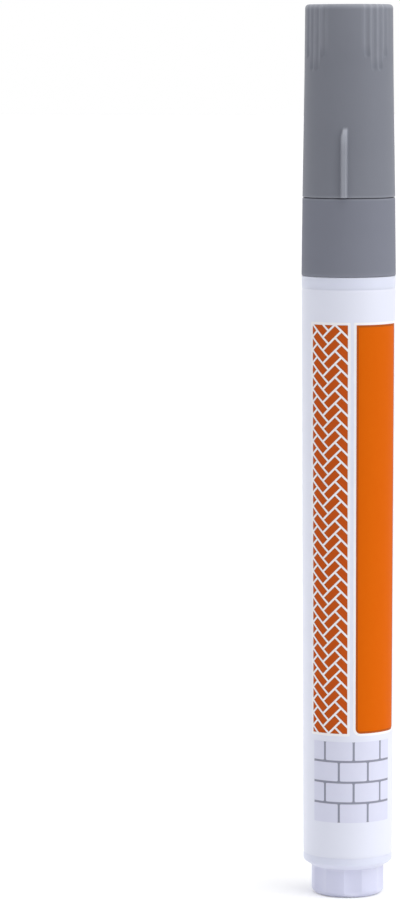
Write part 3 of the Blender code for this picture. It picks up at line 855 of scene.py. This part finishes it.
# nib holder, with air channels pressed into its bore
nozzleFoot, nozzleTip = heightsOf("nib_holder")
nozzle = {
    "bore": 2.62,
    "foot": nozzleFoot,
    "land": 4.4,
    "flange": 5.4,
    "flangeLow": 117.0,
    "flangeHigh": 118.0,
    "shoulder": 120.0,
    "tip": nozzleTip,
    "tipRadius": 3.52,
    "channels": 4,
    "channel": 0.4,
}
nozzleCorners = [
    (nozzle["bore"], nozzle["foot"], 0),
    (nozzle["land"], nozzle["foot"], 0.4),
    (nozzle["land"], nozzle["flangeLow"], 0),
    (nozzle["flange"], nozzle["flangeLow"], 0.08),
    (nozzle["flange"], nozzle["flangeHigh"], 0.25),
    (nozzle["land"], nozzle["flangeHigh"], 0.12),
    (nozzle["land"], nozzle["shoulder"], 0.2),
    (nozzle["tipRadius"], nozzle["tip"], 0.4),
    (nozzle["bore"], nozzle["tip"], 0),
]
nozzleShape = turnedShape(nozzleCorners, 160, True)
pitch = math.tau / nozzle["channels"]
for vert in nozzleShape.verts:
    radius = math.hypot(vert.co.x, vert.co.y) / mm
    if radius < nozzle["bore"] + 0.02:  # only the bore's wall
        aside = abs(bearingOf(vert.co) % pitch - pitch / 2) * radius
        pushOut(vert, mm * math.sqrt(max(0.0, nozzle["channel"] ** 2 - aside**2)))
addPiece("nibNozzle", nozzleShape, holderWhite, "holder", "nib_holder")

# nib: slant-cut felt rod with a tenon
nib = {
    "radius": 2.5,
    "tip": 136.0,
    "shoulder": 106.6,
    "tenon": 1.55,
    "end": heightsOf("nib")[0],
    "slant": 27.6,
    "rim": 0.25,
}
nibCorners = [
    (0, nib["end"], 0),
    (nib["tenon"], nib["end"], 0.5),
    (nib["tenon"], nib["shoulder"], 0),
    (nib["radius"], nib["shoulder"], 0.7),
    (nib["radius"], nib["tip"], 0),
    (0, nib["tip"], 0),
]
nibShape = turnedShape(nibCorners, 96)
slant = math.radians(nib["slant"])
cutFrom = (0, 0, (nib["tip"] - nib["radius"] * math.tan(slant)) * mm)
cutAlong = Vector((math.sin(slant), 0, math.cos(slant)))
geom = nibShape.verts[:] + nibShape.edges[:] + nibShape.faces[:]
cut = bmesh.ops.bisect_plane(nibShape, geom=geom, plane_co=cutFrom, plane_no=cutAlong, clear_outer=True)
rim = [e for e in cut["geom_cut"] if isinstance(e, bmesh.types.BMEdge)]
bmesh.ops.edgeloop_fill(nibShape, edges=rim)
bmesh.ops.bevel(
    nibShape, geom=rim, offset=nib["rim"] * mm, segments=3, affect="EDGES", profile=0.5, material=-1
)
bmesh.ops.recalc_face_normals(nibShape, faces=nibShape.faces)
addPiece("nibFelt", nibShape, yellowFelt, "nib", "nib")

# loose fibres on the part of the nib that stays out of the nozzle when it is pressed
fibre = {
    "count": 260,
    "aboveNozzle": 2.7,
    "belowTip": 3.0,
    "length": (0.25, 0.7),
    "tilt": (0.9, 1.45),
    "twist": (-0.6, 0.6),
    "rootRadius": 0.022,
    "endRadius": 0.006,
    "sunk": 0.02,
    "seed": 7,
}
chance = random.Random(fibre["seed"])
fuzz = bmesh.new()
for _ in range(fibre["count"]):
    bearing = chance.uniform(0, math.tau)
    height = chance.uniform(nozzle["tip"] + fibre["aboveNozzle"], nib["tip"] - fibre["belowTip"])
    length = chance.uniform(*fibre["length"])
    tilt = chance.uniform(*fibre["tilt"])
    strand = bmesh.ops.create_cone(
        fuzz,
        cap_ends=True,
        segments=3,
        radius1=fibre["rootRadius"] * mm,
        radius2=fibre["endRadius"] * mm,
        depth=length * mm,
    )["verts"]
    lift = Matrix.Translation((0, 0, length / 2 * mm))
    lean = Matrix.Rotation(math.pi / 2 - tilt, 4, "Y")
    twist = Matrix.Rotation(chance.uniform(*fibre["twist"]), 4, "X")
    root = Matrix.Translation(((nib["radius"] - fibre["sunk"]) * mm, 0, height * mm))
    spot = Matrix.Rotation(bearing, 4, "Z") @ root
    bmesh.ops.transform(fuzz, matrix=spot @ twist @ lean @ lift, verts=strand)
addPiece("nibFuzz", fuzz, yellowFelt, "nib")
print("tail, nozzle and nib made")

# valve: turned seat and stem, and the spring, made at one length, that shortens in use as the valve opens
seatLow, seatHigh = heightsOf("valve_seat")
seat = {
    "bore": 1.75,
    "tube": 2.65,
    "flange": 4.4,
    "low": seatLow,
    "flangeLow": 102.2,
    "high": seatHigh,
    "edge": 0.3,
}
seatCorners = [
    (seat["bore"], seat["low"], 0),
    (seat["tube"], seat["low"], seat["edge"]),
    (seat["tube"], seat["flangeLow"], seat["edge"]),
    (seat["flange"], seat["flangeLow"], 0),
    (seat["flange"], seat["high"], seat["edge"]),
    (seat["bore"], seat["high"], seat["edge"]),
]
seatShape = turnedShape(seatCorners, 96, True)
addPiece("valveSeat", seatShape, valveWhite, "holder", "valve_seat")

stemLow, stemHigh = heightsOf("valve_stem")
stem = {
    "pin": 1.0,
    "head": 2.65,
    "low": stemLow,
    "headLow": 96.0,
    "headHigh": 97.2,
    "high": stemHigh,
    "edge": 0.3,
}
stemCorners = [
    (0, stem["low"], 0),
    (stem["pin"], stem["low"], stem["edge"]),
    (stem["pin"], stem["headLow"], 0),
    (stem["head"], stem["headLow"], stem["edge"]),
    (stem["head"], stem["headHigh"], stem["edge"]),
    (stem["pin"], stem["headHigh"], 0),
    (stem["pin"], stem["high"], stem["edge"]),
    (0, stem["high"], 0),
]
addPiece("valveStem", turnedShape(stemCorners, 64), valveWhite, "valve", "valve_stem")

spring = {"wire": 0.5, "radius": 1.5, "low": 87.9, "high": 95.9, "turns": 5, "perTurn": 32, "stroke": 2.5}
path = bpy.data.curves.new("springPath", "CURVE")
path.dimensions = "3D"
path.bevel_depth = spring["wire"] / 2 * mm
path.bevel_resolution = 4
path.use_fill_caps = True
line = path.splines.new("POLY")
line.points.add(spring["turns"] * spring["perTurn"])
start = spring["low"] + spring["wire"] / 2
for k, point in enumerate(line.points):
    angle = math.tau * k / spring["perTurn"]
    share = k / (len(line.points) - 1)
    height = start + (spring["high"] - spring["low"] - spring["wire"]) * share
    across = spring["radius"] * math.cos(angle) * mm
    deep = spring["radius"] * math.sin(angle) * mm
    point.co = (across, deep, height * mm, 1)
pathObject = bpy.data.objects.new("springPath", path)
bpy.context.scene.collection.objects.link(pathObject)
bpy.context.view_layer.update()
coil = bmesh.new()
coil.from_mesh(pathObject.evaluated_get(bpy.context.evaluated_depsgraph_get()).to_mesh())
bpy.data.objects.remove(pathObject)
springPiece = addPiece("springWire", coil, wireSteel, "holder", "valve_spring")
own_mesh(springPiece)

# cage and ball: the cage keeps its solid's slots, smoothed round the wall
cage = bmesh.new()
cage.from_mesh(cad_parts["valve_cage"].data)
bmesh.ops.remove_doubles(cage, verts=cage.verts, dist=1e-7)
addPiece("valveCage", cage, valveWhite, "holder", "valve_cage")

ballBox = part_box("mixing_ball")
ball = bmesh.new()
bmesh.ops.create_uvsphere(ball, u_segments=64, v_segments=32, radius=(ballBox[1][2] - ballBox[0][2]) / 2)
bmesh.ops.translate(ball, vec=(Vector(ballBox[0]) + Vector(ballBox[1])) / 2, verts=ball.verts)
addPiece("mixingBall", ball, ballSteel, "ball", "mixing_ball")
print("valve and ball made")

# studio: white sweep that keeps the shadow, light from overhead and the right, softer from the left back
studio = {"ambient": 0.385, "floor": "#EFEFF0", "floorSize": 8.0, "lift": 0.2}


def shownRays(tree):
    # 1 for rays that show the background: straight to the camera, mirrored or through something clear
    path = addNode(tree, "ShaderNodeLightPath")
    shown = path.outputs["Is Camera Ray"]
    for ray in ("Is Glossy Ray", "Is Transmission Ray"):
        shown = addNode(
            tree, "ShaderNodeMath", {0: shown, 1: path.outputs[ray]}, operation="MAXIMUM"
        ).outputs[0]
    return shown


world = bpy.data.worlds.new("studio")
bpy.context.scene.world = world
world.use_nodes = True
sky = world.node_tree
power = addNode(
    sky, "ShaderNodeMapRange", {"Value": shownRays(sky), "To Min": studio["ambient"], "To Max": 1.0}
)
sky.links.new(power.outputs["Result"], sky.nodes["Background"].inputs["Strength"])
sky.nodes["Background"].inputs["Color"].default_value = (1, 1, 1, 1)


def addSun(name, strength, spread, fromPoint):
    lamp = bpy.data.lights.new(name, "SUN")
    lamp.energy = strength
    lamp.angle = math.radians(spread)
    holder = bpy.data.objects.new(name, lamp)
    bpy.context.scene.collection.objects.link(holder)
    holder.rotation_euler = Vector(fromPoint).to_track_quat("Z", "Y").to_euler()


def addCard(name, power, size, place):
    # a small lit card beside the foot, which only throws light
    lamp = bpy.data.lights.new(name, "AREA")
    lamp.energy = power
    lamp.size = size * mm
    card = bpy.data.objects.new(name, lamp)
    bpy.context.scene.collection.objects.link(card)
    card.location = Vector(place) * mm
    card.rotation_euler = Vector((place[0], place[1], 0)).to_track_quat("Z", "Y").to_euler()
    card.visible_camera = False
    card.visible_glossy = False


addSun("overhead", strength=1.23, spread=70, fromPoint=(0.25, -0.2, 1.0))
addSun("rightWindow", strength=1.18, spread=80, fromPoint=(0.9, -0.4, 0.5))
addSun("leftBack", strength=0.54, spread=90, fromPoint=(-0.9, 0.45, 0.55))
addCard("lowRight", power=0.0032, size=46, place=(55, -40, 22))
addCard("lowLeft", power=0.0095, size=60, place=(-60, 30, 30))

ground = bmesh.new()
bmesh.ops.create_grid(ground, x_segments=1, y_segments=1, size=studio["floorSize"])
groundMesh = bpy.data.meshes.new("floor")
ground.to_mesh(groundMesh)
ground.free()
floor = bpy.data.objects.new("floor", groundMesh)
bpy.context.scene.collection.objects.link(floor)
paper = bpy.data.materials.new("white paper sweep")
paper.use_nodes = True
tree = paper.node_tree
tree.nodes.remove(tree.nodes["Principled BSDF"])
matte = addNode(tree, "ShaderNodeBsdfDiffuse", {"Color": hexColour(studio["floor"])})
glow = addNode(tree, "ShaderNodeMath", {0: shownRays(tree), 1: studio["lift"]}, operation="MULTIPLY")
lit = addNode(tree, "ShaderNodeEmission", {"Strength": glow.outputs[0]})
both = addNode(tree, "ShaderNodeAddShader", {0: matte.outputs[0], 1: lit.outputs[0]})
tree.links.new(both.outputs[0], tree.nodes["Material Output"].inputs["Surface"])
groundMesh.materials.append(paper)
bpy.context.scene.view_settings.view_transform = "Standard"
print("studio made")
